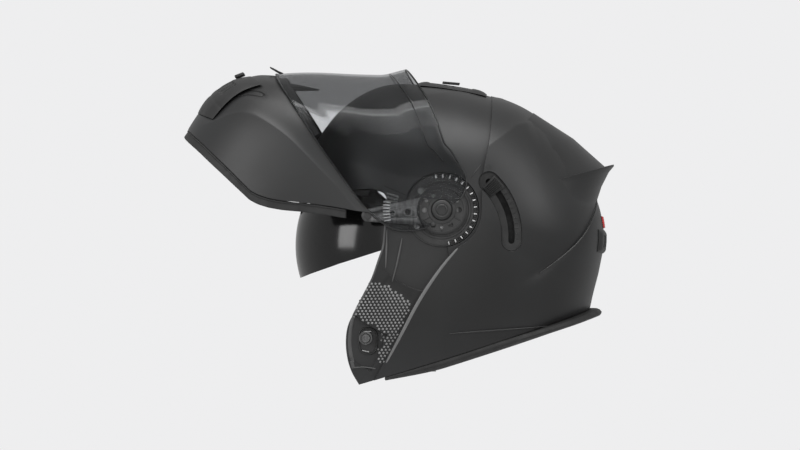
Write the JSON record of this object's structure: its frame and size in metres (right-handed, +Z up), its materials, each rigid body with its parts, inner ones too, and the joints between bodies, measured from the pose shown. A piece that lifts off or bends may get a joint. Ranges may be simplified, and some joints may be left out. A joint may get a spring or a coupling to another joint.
{
  "type": "modular motorcycle helmet",
  "caption": "Matte black flip-up motorcycle helmet with a hinged chin bar, clear visor, inner sun visor, vents and a chin strap buckle.",
  "frame": {"origin": "middle of the chin bar's hinge axis, inside the head cavity", "axes": "+X forward, +Y the wearer's left, +Z up, drawn as worn with the chin bar raised"},
  "size_m": [0.3991, 0.2492, 0.291],
  "materials": {
    "matte_shell": "satin matte clear coat",
    "black_plastic": "moulded, fine grain",
    "foam": "moulded bead foam",
    "lining": "brushed knit over foam",
    "trim_rubber": "matte",
    "steel": "brushed",
    "red_lens": "glossy, ribbed",
    "red_plastic": "satin",
    "webbing": "woven webbing",
    "clear_lens": "clear, polished",
    "smoke_lens": "dark smoke, polished"
  },
  "bodies": {
    "shell": {"outer_shell": "matte_shell", "eps_liner": "foam", "cheek_foam_left": "foam", "cheek_foam_right": "foam", "speaker_cup_left": "black_plastic", "speaker_cup_right": "black_plastic", "crown_liner": "lining", "cheek_pad_left": "lining", "cheek_pad_right": "lining", "neck_roll": "lining", "rim_trim": "trim_rubber", "brow_gasket": "trim_rubber", "latch_pin_left": "steel", "latch_pin_right": "steel", "pivot_base_left": "black_plastic", "pivot_base_right": "black_plastic", "base_screw_set": "steel", "hub_pin_left": "black_plastic", "hub_pin_right": "black_plastic", "lens_pin_set": "steel", "slider_track": "black_plastic", "crown_vent_base": "black_plastic", "exhaust_vent": "black_plastic", "rear_reflector": "red_lens", "strap_left": "webbing", "strap_right": "webbing", "strap_rivet_set": "steel", "buckle_frame": "steel", "ratchet_tongue": "black_plastic"},
    "chin_bar": {"chin_shell": "matte_shell", "chin_liner": "foam", "chin_trim": "trim_rubber", "chin_gasket": "trim_rubber", "breath_deflector": "black_plastic", "chin_vent_scoop": "black_plastic", "link_arm_left": "steel", "link_arm_right": "steel", "hook_pin_set": "steel"},
    "hook_left": {"latch_hook_left": "steel"},
    "hook_right": {"latch_hook_right": "steel"},
    "button": {"release_button": "red_plastic"},
    "vent_switch": {"chin_vent_switch": "black_plastic"},
    "visor": {"clear_visor": "clear_lens", "visor_ring_left": "black_plastic", "visor_ring_right": "black_plastic", "visor_tab": "black_plastic"},
    "sun_visor": {"sun_lens": "smoke_lens"},
    "slider": {"slider_knob": "black_plastic"},
    "crown_slide": {"crown_vent_slider": "black_plastic"},
    "lever": {"buckle_lever": "red_plastic"}
  },
  "joints": [
    {"name": "chin_bar_hinge", "type": "hinge", "parent": "shell", "child": "chin_bar", "pos_m": [0, 0, 0], "axis": [0, 1, 0], "range_deg": [0, 68.7]},
    {"name": "visor_hinge", "type": "hinge", "parent": "chin_bar", "child": "visor", "pos_m": [0, 0, 0], "axis": [0, 1, 0], "range_deg": [-32, 0]},
    {"name": "sun_visor_hinge", "type": "hinge", "parent": "shell", "child": "sun_visor", "pos_m": [0.03, 0, -0.033], "axis": [0, 1, 0], "range_deg": [-40, 0]},
    {"name": "slider_travel", "type": "hinge", "parent": "shell", "child": "slider", "pos_m": [0.0042, 0, -0.0229], "axis": [0, 1, 0], "range_deg": [-38.1, 0]},
    {"name": "crown_vent_slide", "type": "slide", "parent": "shell", "child": "crown_slide", "axis": [1, 0, 0], "range_m": [-0.006, 0]},
    {"name": "chin_vent_slide", "type": "slide", "parent": "chin_bar", "child": "vent_switch", "axis": [-0.9317, 0, 0.3633], "range_m": [0, 0.006]},
    {"name": "release_press", "type": "slide", "parent": "chin_bar", "child": "button", "axis": [-0.2773, 0, 0.9608], "range_m": [0, 0.004], "stiffness_N_per_m": 800},
    {"name": "left_hook_pivot", "type": "hinge", "parent": "chin_bar", "child": "hook_left", "pos_m": [0.13649, 0.101, 0.03654], "axis": [0, 1, 0], "range_deg": [-20, 0]},
    {"name": "right_hook_pivot", "type": "hinge", "parent": "chin_bar", "child": "hook_right", "pos_m": [0.13649, -0.101, 0.03654], "axis": [0, 1, 0], "range_deg": [-20, 0]},
    {"name": "buckle_lever_pivot", "type": "hinge", "parent": "shell", "child": "lever", "pos_m": [0.018, 0.004, -0.1442], "axis": [1, 0, 0], "range_deg": [-60, 0]}
  ],
  "couplings": [
    {"joint": "slider_travel", "follows": "sun_visor_hinge", "ratio": 0.95},
    {"joint": "left_hook_pivot", "follows": "release_press", "rad_per_m": -85},
    {"joint": "right_hook_pivot", "follows": "release_press", "rad_per_m": -85}
  ]
}
